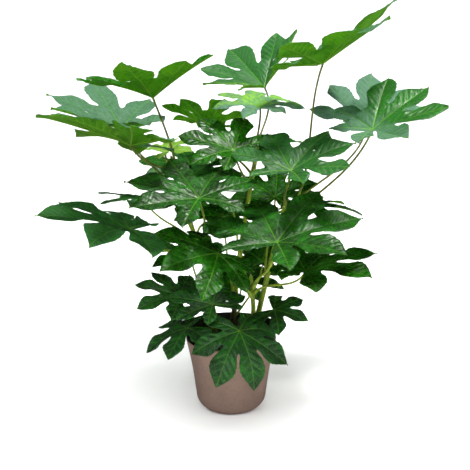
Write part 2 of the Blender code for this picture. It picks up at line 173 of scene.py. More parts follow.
# Each leaf, as in the solids: its cane and the height where its stalk leaves it, the place where
# stalk meets blade, the middle lobe's heading and pitch, the blade's roll, the reach, cup, droop and lobes.
Leaf = namedtuple("Leaf", "cane height place heading pitch roll reach cup droop lobes")
LEAVES = {
    "leaf_01": ("cane_left", 0.600, (-0.177, -0.100, 0.782), 263, -14, 4, 0.195, 33, 8, 7),
    "leaf_02": ("cane_left", 0.560, (-0.280, 0.060, 0.714), 174, 12, -15, 0.212, 20, 10, 7),
    "leaf_03": ("cane_left", 0.590, (-0.217, -0.180, 0.675), 186, 8, 6, 0.213, 13, 12, 7),
    "leaf_04": ("cane_left", 0.620, (-0.162, 0.010, 0.658), 20, 18, 10, 0.086, 18, 30, 5),
    "leaf_05": ("cane_back", 0.600, (-0.064, 0.150, 0.726), 246, 20, 0, 0.138, 18, 10, 7),
    "leaf_06": ("cane_back", 0.640, (0.091, 0.200, 0.832), 105, 14, -29, 0.208, 32, 6, 7),
    "leaf_07": ("cane_back", 0.620, (0.071, -0.020, 0.765), 100, 22, 0, 0.135, 16, 36, 7),
    "leaf_08": ("cane_right", 0.500, (0.220, -0.020, 0.867), 331, 14, 10, 0.232, 18, 0, 7),
    "leaf_09": ("cane_right", 0.510, (0.356, 0.100, 0.731), 77, 27, 5, 0.182, 24, 14, 7),
    "leaf_10": ("cane_right", 0.480, (0.317, -0.140, 0.710), 12, 24, 20, 0.174, 16, 10, 7),
    "leaf_11": ("cane_right", 0.525, (0.134, -0.170, 0.620), 55, 27, 7, 0.172, 16, 18, 7),
    "leaf_12": ("cane_right", 0.330, (0.120, 0.140, 0.535), 82, 36, 0, 0.152, 8, 20, 7),
    "leaf_13": ("cane_back", 0.560, (0.006, -0.080, 0.664), 130, 34, -20, 0.138, 12, 20, 7),
    "leaf_14": ("cane_left", 0.440, (-0.066, -0.235, 0.565), 120, 22, -12, 0.176, 10, 20, 7),
    "leaf_15": ("cane_back", 0.225, (0.086, 0.125, 0.356), 78, 27, 0, 0.138, 6, 26, 7),
    "leaf_16": ("cane_front", 0.325, (0.098, -0.262, 0.475), 56, 24, 4, 0.200, 12, 16, 7),
    "leaf_17": ("cane_front", 0.310, (0.173, -0.150, 0.390), 8, 12, 7, 0.168, 14, 18, 7),
    "leaf_18": ("cane_right", 0.235, (0.109, -0.046, 0.268), 334, -8, 20, 0.088, 8, 30, 5),
    "leaf_19": ("cane_left", 0.380, (-0.234, -0.138, 0.486), 209, 13, -13, 0.210, 8, 22, 7),
    "leaf_20": ("cane_left", 0.420, (-0.242, 0.160, 0.525), 172, 8, 0, 0.130, 8, 24, 7),
    "leaf_21": ("cane_low", 0.250, (-0.132, 0.000, 0.293), 178, 12, -14, 0.128, 10, 16, 7),
    "leaf_22": ("cane_front", 0.300, (-0.027, -0.217, 0.443), 220, 0, -30, 0.144, 2, 18, 7),
    "leaf_23": ("cane_low", 0.240, (-0.044, -0.110, 0.300), 130, 22, -8, 0.118, 8, 22, 7),
    "leaf_24": ("cane_low", 0.215, (-0.107, -0.070, 0.228), 188, -15, -8, 0.124, 8, 34, 5),
    "leaf_25": ("cane_front", 0.240, (0.020, -0.166, 0.252), 296, -36, 7, 0.148, -4, 34, 7),
    "leaf_26": ("cane_left", 0.235, (-0.110, 0.115, 0.375), 115, 20, 0, 0.128, 6, 26, 7),
    "leaf_27": ("cane_back", 0.520, (0.068, 0.270, 0.660), 75, 14, 0, 0.190, 12, 34, 7),
    "leaf_28": ("cane_left", 0.540, (-0.110, 0.250, 0.590), 110, 32, 0, 0.185, 10, 30, 7),
    "leaf_29": ("cane_back", 0.270, (-0.022, 0.267, 0.464), 102, 24, 0, 0.176, 8, 28, 7),
    "leaf_30": ("cane_right", 0.380, (0.200, 0.165, 0.496), 34, 6, 0, 0.168, 12, 36, 7),
    "leaf_31": ("cane_back", 0.215, (0.028, 0.160, 0.290), 92, 22, 0, 0.150, 6, 30, 7),
    "leaf_32": ("cane_left", 0.400, (-0.127, 0.050, 0.522), 130, 18, 0, 0.100, 10, 20, 7),
    "leaf_33": ("cane_front", 0.340, (-0.002, -0.040, 0.532), 235, -4, 0, 0.090, 8, 28, 7),
}
LEAVES = {name: Leaf(*row) for name, row in LEAVES.items()}

# How much painted sheen, a blue-grey reflection, the top of a leaf shows; the others are plain green.
PAINTED_SHEEN_SHARES = {
    "leaf_02": 0.85, "leaf_03": 0.70, "leaf_06": 0.30, "leaf_07": 1.25, "leaf_08": 0.55,
    "leaf_09": 1.40, "leaf_10": 0.90, "leaf_11": 0.22, "leaf_14": 0.05, "leaf_16": 0.06,
    "leaf_18": 0.15, "leaf_19": 0.28, "leaf_20": 0.20, "leaf_21": 0.15, "leaf_23": 0.18,
    "leaf_24": 0.18, "leaf_25": 0.15, "leaf_27": 0.10, "leaf_28": 0.10,
}
PAINTED_SHEEN_COLOUR = (0.102, 0.205, 0.148)

# Leaves that keep their painted sheen on the half behind the stalk only.
HALF_PAINTED_SHEEN = ("leaf_10",)
HALF_PAINTED_SHEEN_LOSS = 0.85

# Leaves with painted lime patches of light on one half, and how strongly:
# above 0 ahead of the stalk, below 0 behind it.
PAINTED_LIGHT_PATCHES = {"leaf_06": -0.45, "leaf_07": 0.80}
PAINTED_LIGHT_PATCH_COLOUR = (0.220, 0.500, 0.012)

# Leaves with more painted shade, below 1, or more painted light, above 1, than their height alone gives.
PAINTED_LIGHTNESS_FACTORS = {"leaf_03": 0.55, "leaf_13": 0.4, "leaf_14": 0.1, "leaf_16": 0.75, "leaf_17": 1.7, "leaf_19": 2.5,
          "leaf_22": 1.1, "leaf_33": 0.3}

# Painted shade and light: leaves are painted dark up to this height and painted lighter over the next
# stretch.
PAINTED_SHADE_BELOW_Z = 0.25
PAINTED_LIGHTENING_HEIGHT = 0.50
PAINTED_LIGHTENING_POWER = 1.2

# Dark, light and vein colours of a blade's two faces, and the roughness of its top.
MATURE_TOP = ((0.003, 0.015, 0.002), (0.010, 0.132, 0.002), (0.120, 0.330, 0.030))
MATURE_UNDER = ((0.027, 0.108, 0.002), (0.060, 0.175, 0.004), (0.130, 0.270, 0.020))
MATURE_ROUGHNESS = 0.24
YOUNG_TOP = ((0.120, 0.280, 0.025), (0.190, 0.380, 0.040), (0.350, 0.500, 0.120))
YOUNG_UNDER = ((0.150, 0.330, 0.030), (0.220, 0.420, 0.050), (0.400, 0.550, 0.140))
YOUNG_ROUGHNESS = 0.36

# Stage: the floor's front edge, where its sweep starts, and the backdrop above the sweep.
FLOOR_FRONT = -6.0
FLOOR_BACK = 2.2
SWEEP_RADIUS = 1.5
SWEEP_STEPS = 16
BACKDROP_TOP = 5.0
STAGE_HALF_WIDTH = 7.0

# Camera.
SENSOR_WIDTH = 36
FOCAL_POINTS = 600
PICTURE_POINTS = 470
CAMERA_PLACE = (0.010, -1.5, 0.68)
CAMERA_DIP = 8.7


# Materials. Each is one function that builds the node tree.


class Nodes:
    """Short calls for building one material's node tree."""

    def __init__(self, name):
        self.material = bpy.data.materials.new(name)
        self.material.use_nodes = True
        self.tree = self.material.node_tree
        self.shader = self.tree.nodes["Principled BSDF"]

    def add(self, kind, **settings):
        node = self.tree.nodes.new(kind)
        for key, value in settings.items():
            setattr(node, key, value)
        return node

    def feed(self, socket, value):
        if hasattr(value, "is_output"):
            self.tree.links.new(value, socket)
        elif value is not None:
            socket.default_value = value

    def math(self, operation, one, other=None, third=None):
        node = self.add("ShaderNodeMath", operation=operation)
        for socket, value in zip(node.inputs, (one, other, third)):
            self.feed(socket, value)
        return node.outputs[0]

    def noise(self, place, scale, detail=3.0, roughness=0.5, stretch=None):
        if stretch:
            mapping = self.add("ShaderNodeMapping")
            self.feed(mapping.inputs["Vector"], place)
            mapping.inputs["Scale"].default_value = stretch
            place = mapping.outputs[0]
        node = self.add("ShaderNodeTexNoise")
        self.feed(node.inputs["Vector"], place)
        node.inputs["Scale"].default_value = scale
        node.inputs["Detail"].default_value = detail
        node.inputs["Roughness"].default_value = roughness
        return node.outputs["Fac"]

    def ramp(self, value, low, high, start=0.0, end=1.0):
        node = self.add("ShaderNodeMapRange", interpolation_type="SMOOTHSTEP")
        self.feed(node.inputs["Value"], value)
        for key, number in (("From Min", low), ("From Max", high), ("To Min", start), ("To Max", end)):
            node.inputs[key].default_value = number
        return node.outputs[0]

    def mix(self, share, one, other):
        """A mix of two colours. Inputs 6 and 7 and output 2 are the node's colour sockets."""
        node = self.add("ShaderNodeMix", data_type="RGBA")
        self.feed(node.inputs["Factor"], share)
        for key, value in ((6, one), (7, other)):
            self.feed(node.inputs[key], (*value, 1) if isinstance(value, tuple) else value)
        return node.outputs[2]

    def place(self):
        return self.add("ShaderNodeTexCoord").outputs["Object"]

    def attribute(self, name):
        return self.add("ShaderNodeAttribute", attribute_name=name)

    def bump(self, height, distance, strength):
        node = self.add("ShaderNodeBump")
        node.inputs["Strength"].default_value = strength
        node.inputs["Distance"].default_value = distance
        self.feed(node.inputs["Height"], height)
        self.feed(self.shader.inputs["Normal"], node.outputs[0])

    def set(self, **values):
        for key, value in values.items():
            self.feed(self.shader.inputs[key.replace("_", " ")], value)
        return self.material


def leaf_vein_masks(m):
    """The light lines of the main ribs and of the side veins, and the fine net between them."""
    split = m.add("ShaderNodeSeparateXYZ")
    m.feed(split.inputs[0], m.attribute("blade").outputs["Vector"])
    along, aside, share = split.outputs
    wander = m.noise(m.place(), 60.0, 2.0)
    rib = m.ramp(aside, 0.0008, 0.0024, 1.0, 0.0)
    wavy = m.math("MULTIPLY_ADD", wander, 0.004, along)
    slant = m.math("SUBTRACT", wavy, m.math("MULTIPLY", aside, VEIN_SLANT))
    turn = m.math("PINGPONG", m.math("DIVIDE", slant, VEIN_PITCH), 0.5)
    side = m.ramp(turn, 0.018, 0.055, 1.0, 0.0)
    side = m.math("MULTIPLY", side, m.ramp(share, 0.45, 0.95, 1.0, 0.15))
    cells = m.add("ShaderNodeTexVoronoi", feature="DISTANCE_TO_EDGE")
    m.feed(cells.inputs["Vector"], m.place())
    cells.inputs["Scale"].default_value = 190.0
    net = m.ramp(cells.outputs["Distance"], 0.02, 0.10, 1.0, 0.0)
    rib = m.math("MULTIPLY", rib, m.ramp(along, 0.015, 0.100, 1.0, 0.45))
    return rib, side, net


def painted_light_spots(m, blotch, body):
    """The body colour with painted lime patches of light on the half of the leaf that has them."""
    spots = m.noise(m.place(), 75.0, 2.0, 0.5)
    cover = m.math("MULTIPLY", m.ramp(spots, 0.36, 0.60, 0.25, 1.0), m.ramp(blotch, 0.30, 0.60, 0.40, 1.0))
    return m.mix(m.math("MULTIPLY", m.attribute("painted_light_patch").outputs["Fac"], cover), body, PAINTED_LIGHT_PATCH_COLOUR)


def leaf_top(name, dark, light, vein, roughness):
    """Glossy green with paler veins, painted shade that darkens and mottles it low, painted sheen and
    painted lime light.
    """
    m = Nodes(name)
    rib, side, net = leaf_vein_masks(m)
    blotch = m.noise(m.place(), 22.0, 4.0, 0.6)
    mottle = m.noise(m.place(), 95.0, 3.0, 0.65)
    painted_lightness = m.attribute("painted_lightness").outputs["Fac"]
    painted_sheen = m.attribute("painted_sheen").outputs["Fac"]
    body = m.mix(m.ramp(blotch, 0.35, 0.70), dark, light)
    # Painted light: the higher a leaf, the more its body turns to the light colour.
    body = m.mix(m.math("MULTIPLY", painted_lightness, 0.75), body, light)
    # Dark mottle: painted shade of the small swellings, stronger on leaves lower in the plant.
    painted_mottle_shade = m.math("MULTIPLY_ADD", painted_lightness, -0.40, 0.72)
    body = m.mix(m.math("MULTIPLY", m.ramp(mottle, 0.42, 0.62), painted_mottle_shade), body, dark)
    # Painted sheen: a blue-grey reflection of the surroundings painted into the top's colour, in patches.
    body = m.mix(m.math("MULTIPLY", painted_sheen, m.ramp(mottle, 0.34, 0.66, 0.48, 0.92)), body, PAINTED_SHEEN_COLOUR)
    # Painted lime patches of light.
    body = painted_light_spots(m, blotch, body)
    body = m.mix(m.math("MULTIPLY", net, 0.16), body, vein)
    # The paler veins show less on leaves in painted shade.
    body = m.mix(m.math("MULTIPLY", side, m.math("MULTIPLY_ADD", painted_lightness, 0.24, 0.22)), body, vein)
    body = m.mix(m.math("MULTIPLY", rib, m.math("MULTIPLY_ADD", painted_lightness, 0.40, 0.46)), body, vein)
    patches = m.noise(m.place(), 45.0, 2.0)
    rough = m.ramp(patches, 0.3, 0.7, roughness - 0.02, roughness + 0.12)
    rough = m.math("MULTIPLY_ADD", painted_sheen, 0.38, rough)
    height = m.math("ADD", m.math("MULTIPLY", side, -0.7), m.math("MULTIPLY", net, -0.25))
    m.bump(m.math("MULTIPLY_ADD", mottle, 0.35, height), 0.0006, 0.6)
    m.shader.inputs["Specular IOR Level"].default_value = 0.23
    m.shader.inputs["Subsurface Weight"].default_value = 0.08
    m.shader.inputs["Subsurface Radius"].default_value = (0.5, 1.0, 0.2)
    m.shader.inputs["Subsurface Scale"].default_value = 0.003
    return m.set(Base_Color=body, Roughness=rough)


def leaf_under(name, dark, light, vein):
    """The duller, lighter underside, with its raised veins."""
    m = Nodes(name)
    rib, side, net = leaf_vein_masks(m)
    blotch = m.noise(m.place(), 26.0, 3.0, 0.6)
    painted_lightness = m.attribute("painted_lightness").outputs["Fac"]
    body = m.mix(m.ramp(blotch, 0.3, 0.75), dark, light)
    # Painted shade: undersides low in the plant are painted darker.
    body = m.mix(m.ramp(painted_lightness, 0.0, 1.0, 0.55, 0.0), body, tuple(c * 0.30 for c in dark))
    body = painted_light_spots(m, blotch, body)
    body = m.mix(m.math("MULTIPLY", net, 0.20), body, vein)
    body = m.mix(m.math("MULTIPLY", side, 0.45), body, vein)
    body = m.mix(m.math("MULTIPLY", rib, 0.70), body, vein)
    height = m.math("ADD", side, m.math("MULTIPLY", net, 0.4))
    m.bump(height, 0.0006, 0.7)
    m.shader.inputs["Specular IOR Level"].default_value = 0.10
    m.shader.inputs["Subsurface Weight"].default_value = 0.30
    m.shader.inputs["Subsurface Radius"].default_value = (0.5, 1.0, 0.15)
    m.shader.inputs["Subsurface Scale"].default_value = 0.004
    return m.set(Base_Color=body, Roughness=0.58)


def stalk_green():
    """Yellow-green low in the plant, browner high up."""
    m = Nodes("stalk")
    streak = m.noise(m.place(), 60.0, 3.0, stretch=(3.0, 3.0, 0.35))
    height = m.add("ShaderNodeSeparateXYZ")
    m.feed(height.inputs[0], m.place())
    tanned = m.ramp(m.math("MULTIPLY_ADD", streak, 0.20, height.outputs[2]), 0.45, 0.75)
    body = m.mix(m.ramp(streak, 0.35, 0.7), (0.130, 0.210, 0.016), (0.270, 0.360, 0.034))
    brown = m.mix(m.ramp(streak, 0.35, 0.7), (0.048, 0.058, 0.014), (0.130, 0.150, 0.030))
    body = m.mix(m.math("MULTIPLY", tanned, 0.75), body, brown)
    m.bump(streak, 0.0004, 0.5)
    m.shader.inputs["Specular IOR Level"].default_value = 0.25
    return m.set(Base_Color=body, Roughness=0.42)


def cane_bark():
    """Brown bark near the soil that turns green above, with pale leaf scars."""
    m = Nodes("cane_bark_fine")
    place = m.place()
    rough_skin = m.noise(place, 130.0, 5.0, 0.65, stretch=(1.0, 1.0, 0.5))
    blotch = m.noise(place, 30.0, 3.0)
    scar = m.attribute("scar").outputs["Fac"]
    height = m.add("ShaderNodeSeparateXYZ")
    m.feed(height.inputs[0], place)
    age = m.attribute("age").outputs["Fac"]
    level = m.math("SUBTRACT", height.outputs[2], m.math("MULTIPLY", age, 0.14))
    green = m.ramp(m.math("MULTIPLY_ADD", blotch, 0.08, level), 0.20, 0.27)
    old = m.mix(m.ramp(blotch, 0.35, 0.65), (0.120, 0.090, 0.036), (0.175, 0.155, 0.060))
    body = m.mix(green, old, (0.150, 0.235, 0.012))
    skin = m.mix(green, (0.060, 0.042, 0.025), (0.085, 0.120, 0.022))
    body = m.mix(m.ramp(rough_skin, 0.45, 0.75, 0.0, 0.6), body, skin)
    body = m.mix(m.math("MULTIPLY", scar, 0.6), body, (0.210, 0.190, 0.080))
    m.bump(rough_skin, 0.0010, 0.8)
    m.shader.inputs["Specular IOR Level"].default_value = 0.15
    return m.set(Base_Color=body, Roughness=0.72)


def pot_clay():
    m = Nodes("pot_clay_fine")
    place = m.place()
    cloud = m.noise(place, 9.0, 4.0, 0.55)
    speck = m.noise(place, 170.0, 3.0, 0.6)
    grain = m.noise(place, 620.0, 2.0, 0.5)
    body = m.mix(m.ramp(cloud, 0.32, 0.68), (0.187, 0.115, 0.087), (0.230, 0.143, 0.108))
    body = m.mix(m.ramp(speck, 0.52, 0.74, 0.0, 0.35), body, (0.132, 0.079, 0.063))
    body = m.mix(m.ramp(grain, 0.55, 0.75, 0.0, 0.20), body, (0.290, 0.197, 0.156))
    rough = m.ramp(speck, 0.3, 0.7, 0.66, 0.82)
    height = m.math("MULTIPLY_ADD", grain, 0.5, speck)
    m.bump(height, 0.0008, 0.45)
    return m.set(Base_Color=body, Roughness=rough)


def nursery_plastic():
    m = Nodes("nursery_plastic_fine")
    place = m.place()
    dust = m.noise(place, 40.0, 4.0, 0.6)
    body = m.mix(m.ramp(dust, 0.5, 0.8, 0.0, 0.5), (0.010, 0.010, 0.011), (0.038, 0.034, 0.030))
    rough = m.ramp(dust, 0.3, 0.7, 0.34, 0.55)
    m.bump(m.noise(place, 300.0, 2.0), 0.0003, 0.3)
    return m.set(Base_Color=body, Roughness=rough)


def peat():
    m = Nodes("peat_fine")
    place = m.place()
    crumb = m.noise(place, 160.0, 5.0, 0.7)
    patch = m.noise(place, 35.0, 3.0)
    body = m.mix(m.ramp(crumb, 0.35, 0.7), (0.010, 0.007, 0.005), (0.050, 0.033, 0.021))
    body = m.mix(m.ramp(patch, 0.55, 0.75, 0.0, 0.5), body, (0.075, 0.055, 0.036))
    m.bump(crumb, 0.0020, 0.9)
    return m.set(Base_Color=body, Roughness=0.92)


def plain_stage():
    m = Nodes("studio_floor")
    tint = m.noise(m.place(), 0.8, 2.0)
    body = m.mix(m.ramp(tint, 0.3, 0.7), (0.95, 0.95, 0.95), (0.97, 0.97, 0.97))
    return m.set(Base_Color=body, Roughness=0.6)


# Meshes from arrays of points and faces.


def mesh_object(name, points, faces, materials, face_material=None):
    mesh = bpy.data.meshes.new(name)
    points = np.asarray(points, dtype=np.float32)
    sizes = np.concatenate([np.full(len(f), f.shape[1], dtype=np.int32) for f in faces])
    corners = np.concatenate([f.ravel() for f in faces]).astype(np.int32)
    mesh.vertices.add(len(points))
    mesh.vertices.foreach_set("co", points.ravel())
    mesh.loops.add(len(corners))
    mesh.loops.foreach_set("vertex_index", corners)
    mesh.polygons.add(len(sizes))
    starts = np.concatenate([[0], np.cumsum(sizes)[:-1]]).astype(np.int32)
    mesh.polygons.foreach_set("loop_start", starts)
    mesh.update(calc_edges=True)
    for mat in materials:
        mesh.materials.append(mat)
    if face_material is not None:
        mesh.polygons.foreach_set("material_index", face_material.astype(np.int32))
    mesh.shade_smooth()
    mesh.validate()
    thing = bpy.data.objects.new(name, mesh)
    bpy.context.collection.objects.link(thing)
    return thing


def point_attribute(thing, name, kind, values):
    layer = thing.data.attributes.new(name, kind, "POINT")
    field = "vector" if kind == "FLOAT_VECTOR" else "value"
    layer.data.foreach_set(field, np.asarray(values, dtype=np.float32).ravel())


def smooth_curve(points, count):
    """Points at even shares of a Catmull-Rom curve through the given ones."""
    ends = [points[0] * 2 - points[1], *points, points[-1] * 2 - points[-2]]
    spans = len(points) - 1
    curve = []
    for i in range(count + 1):
        along = spans * i / count
        span = min(int(along), spans - 1)
        a, b, c, d = ends[span:span + 4]
        t = along - span
        curve.append(0.5 * (2 * b + (c - a) * t + (2 * a - 5 * b + 4 * c - d) * t * t
                            + (3 * b - a - 3 * c + d) * t ** 3))
    return curve


def tube(route, radii, sides, first_axis):
    """Points and quads of a tube with closed ends along a route."""
    points = []
    count = len(route)
    turns = [2 * pi * k / sides for k in range(sides)]
    for i, centre in enumerate(route):
        along = (route[min(i + 1, count - 1)] - route[max(i - 1, 0)]).normalized()
        first_axis = (first_axis - along * first_axis.dot(along)).normalized()
        second_axis = along.cross(first_axis)
        points += [centre + (first_axis * cos(t) + second_axis * sin(t)) * radii[i] for t in turns]
    ring = np.arange(sides)
    after = (ring + 1) % sides
    quads = np.concatenate([np.stack([ring, after, after + sides, ring + sides], 1) + i * sides
                            for i in range(count - 1)])
    points += [route[0], route[-1]]
    foot, top = count * sides, count * sides + 1
    last = (count - 1) * sides
    caps = np.concatenate([np.stack([np.full(sides, foot), after, ring], 1),
                           np.stack([np.full(sides, top), last + ring, last + after], 1)])
    return points, quads, caps


# The cover pot, the nursery pot in it and the soil.


def quarter_turn(start, end, steps):
    """Points of a quarter ellipse that leaves start level and reaches end upright."""
    return [(start[0] + (end[0] - start[0]) * sin(pi / 2 * i / steps),
             end[1] + (start[1] - end[1]) * cos(pi / 2 * i / steps)) for i in range(steps + 1)]


def turned_faces(rings):
    """Quads between the rings, and fans to one point before the first ring and one after the last."""
    sides = POT_SIDES
    ring = np.arange(sides)
    after = (ring + 1) % sides
    quads = np.concatenate([np.stack([ring, after, after + sides, ring + sides], 1) + 1 + i * sides
                            for i in range(rings - 1)])
    last = 1 + (rings - 1) * sides
    caps = np.concatenate([np.stack([np.zeros(sides, int), after + 1, ring + 1], 1),
                           np.stack([np.full(sides, last + sides), last + ring, last + after], 1)])
    return quads, caps


def turned(name, profile, mat, uneven, seed):
    """A fine closed solid turned about +Z, with a slight unevenness of the hand or mould."""
    draw = random.Random(seed)
    waves = [(draw.randint(2, 5), draw.uniform(0, 2 * pi), draw.uniform(20, 45)) for _ in range(4)]
    turn = 2 * pi * np.arange(POT_SIDES) / POT_SIDES
    rings = []
    for radius, height in profile[1:-1]:
        shift = sum(np.sin(n * turn + p + q * height) for n, p, q in waves) * uneven
        r = radius + shift * min(1.0, height / 0.03)
        rings.append(np.stack([r * np.cos(turn), r * np.sin(turn), np.full(POT_SIDES, height)], 1))
    points = np.concatenate([[(0, 0, profile[0][1])], *rings, [(0, 0, profile[-1][1])]])
    return mesh_object(name, points, turned_faces(len(rings)), [mat])


def along_line(start, end, steps):
    return [(start[0] + (end[0] - start[0]) * i / steps, start[1] + (end[1] - start[1]) * i / steps)
            for i in range(1, steps)]


def half_round(outer, inner, height, drop):
    """A rounded lip from the outer to the inner radius."""
    steps = 8
    middle = (outer + inner) / 2
    half = (outer - inner) / 2
    return [(middle + half * cos(pi * i / steps), height - drop + drop * sin(pi * i / steps))
            for i in range(steps + 1)]


def make_pots():
    outside = quarter_turn((POT_FOOT_RADIUS, 0), (POT_BELLY_RADIUS, POT_BELLY_Z), 18)
    inside = quarter_turn((POT_INNER_FOOT_RADIUS, POT_FLOOR),
                          (POT_BELLY_RADIUS - POT_WALL, POT_BELLY_Z), 12)
    lip = half_round(POT_LIP_RADIUS, POT_LIP_RADIUS - POT_WALL, POT_HEIGHT, POT_LIP_ROUND)
    wall = smooth_curve([Vector((POT_BELLY_RADIUS, POT_BELLY_Z)), Vector((POT_MIDDLE_RADIUS, POT_MIDDLE_Z)),
                         Vector((POT_LIP_RADIUS, POT_HEIGHT - POT_LIP_ROUND))], 24)
    outer_wall = [(p.x, p.y) for p in wall[1:-1]]
    inner_wall = [(p.x - POT_WALL, p.y) for p in reversed(wall[1:-1])]
    profile = [(0, 0), (POT_FOOT_RADIUS * 0.9, 0), *outside, *outer_wall, *lip, *inner_wall,
               *reversed(inside), (0, POT_FLOOR)]
    pot = turned("cover_pot", profile, pot_clay(), uneven=0.00012, seed=4)
    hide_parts("pot")
    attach(pot, "root")

    floor = POT_FLOOR + GAP
    wall = NURSERY_WALL
    soft = NURSERY_CORNER
    foot, neck = NURSERY_FOOT_RADIUS, NURSERY_NECK_RADIUS
    band, rim = NURSERY_BAND_RADIUS, NURSERY_LIP_RADIUS
    shelf, top = NURSERY_BAND_Z, NURSERY_TOP_Z
    bead = [(rim + out, top + up) for out, up in NURSERY_BEAD]
    shell = [(0, floor), (foot, floor), (neck, shelf - soft), (neck + soft, shelf),
             (band - soft, shelf), (band, shelf + soft),
             *along_line((band, shelf + soft), bead[0], 5), *bead[1:],
             *half_round(rim, rim - wall, top, NURSERY_LIP_ROUND),
             (band - wall, shelf + wall + soft), (neck - wall, shelf + wall),
             (foot - wall, floor + wall), (0, floor + wall)]
    nursery = turned("nursery_pot_fine", shell, nursery_plastic(), uneven=0.00010, seed=9)
    nursery.data.set_sharp_from_angle(angle=radians(NURSERY_FOLD_ANGLE))
    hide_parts("nursery_pot")
    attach(nursery, "root")


def make_soil():
    """A lumpy soil top in the nursery pot, with loose crumbs and bits of bark lying on it."""
    draw = random.Random(12)
    low = POT_FLOOR + GAP + NURSERY_WALL + GAP
    foot = NURSERY_FOOT_RADIUS - NURSERY_WALL - 2 * GAP
    neck = NURSERY_NECK_RADIUS - NURSERY_WALL - 3 * GAP
    edge = NURSERY_BAND_RADIUS - NURSERY_WALL - GAP + SOIL_FLARE
    shelf = NURSERY_BAND_Z + NURSERY_WALL + GAP
    turn = 2 * pi * np.arange(POT_SIDES) / POT_SIDES
    waves = [(draw.uniform(*SOIL_WAVE_NUMBERS), draw.uniform(0, 2 * pi), draw.uniform(0, 2 * pi))
             for _ in range(SOIL_WAVES)]

    def lump(x, y):
        """How far the soil stands up or sinks at a point."""
        total = 0
        for k, way, phase in waves:
            total = total + np.sin(k * (x * cos(way) + y * sin(way)) + phase) * SOIL_WAVE_NUMBERS[0] / k
        return total * SOIL_LUMP

    rings = [np.stack([r * np.cos(turn), r * np.sin(turn), np.full(POT_SIDES, z)], 1)
             for r, z in ((foot, low), (neck, shelf - 0.001), (edge - SOIL_FLARE, shelf),
                          (edge, SOIL_TOP_Z - 0.003))]
    for i in range(1, SOIL_RINGS):
        r = edge * (1 - i / SOIL_RINGS)
        x, y = r * np.cos(turn), r * np.sin(turn)
        rings.append(np.stack([x, y, SOIL_TOP_Z - SOIL_SINK + lump(x, y)], 1))
    middle = (0, 0, SOIL_TOP_Z - SOIL_SINK + lump(0.0, 0.0))
    points = np.concatenate([[(0, 0, low)], *rings, [middle]])
    crumbs = []
    crumb_faces = []
    start = len(points)
    octa = np.array([(1, 0, 0), (0, 1, 0), (-1, 0, 0), (0, -1, 0), (0, 0, 1), (0, 0, -1)], float)
    octa_faces = np.array([(0, 1, 4), (1, 2, 4), (2, 3, 4), (3, 0, 4),
                           (1, 0, 5), (2, 1, 5), (3, 2, 5), (0, 3, 5)])
    for _ in range(CRUMBS):
        r = (edge - 0.006) * draw.random() ** 0.5
        way = draw.uniform(0, 2 * pi)
        x, y = r * cos(way), r * sin(way)
        size = draw.uniform(*CRUMB_SIZES)
        turn_by = draw.uniform(0, pi)
        stretch = np.array([size * draw.uniform(0.9, 1.9), size * draw.uniform(0.6, 1.0), size * 0.6])
        shape = octa * stretch * np.array([[draw.uniform(0.75, 1.2)] for _ in octa])
        shape = np.stack([shape[:, 0] * cos(turn_by) - shape[:, 1] * sin(turn_by),
                          shape[:, 0] * sin(turn_by) + shape[:, 1] * cos(turn_by), shape[:, 2]], 1)
        crumbs.append(shape + np.array([x, y, SOIL_TOP_Z - CRUMB_SINK + float(lump(x, y))]))
        crumb_faces.append(octa_faces + start)
        start += len(octa)
    soil = mesh_object("potting_soil", np.concatenate([points, *crumbs]),
                       [*turned_faces(len(rings)), np.concatenate(crumb_faces)], [peat()])
    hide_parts("soil")
    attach(soil, "root")


# The canes, with their holes' places and routes as in the solids.


def cane_route(name, rings):
    """The cane's centre line: straight up out of its hole, then through its own points."""
    (x, y), *corners = CANES[name][2]
    foot = Vector((x, y, SOIL_TOP_Z - CANE_DEPTH + GAP))
    surface = Vector((x, y, SOIL_TOP_Z + CANE_STRAIGHT))
    return [foot, *smooth_curve([surface, *(Vector(p) for p in corners)], rings)]


def cane_at(name, height):
    """The cane's centre, direction and radius at a height."""
    foot_radius, top_radius, _ = CANES[name]
    route = cane_route(name, CANE_RINGS)
    for i in range(1, len(route) - 1):
        low, high = route[i], route[i + 1]
        if height <= high.z or i == len(route) - 2:
            share = min(1.0, (height - low.z) / (high.z - low.z))
            along = (i - 1 + share) / (len(route) - 2)
            radius = foot_radius + (top_radius - foot_radius) * along
            return low.lerp(high, share), (high - low).normalized(), radius
    raise ValueError(name)


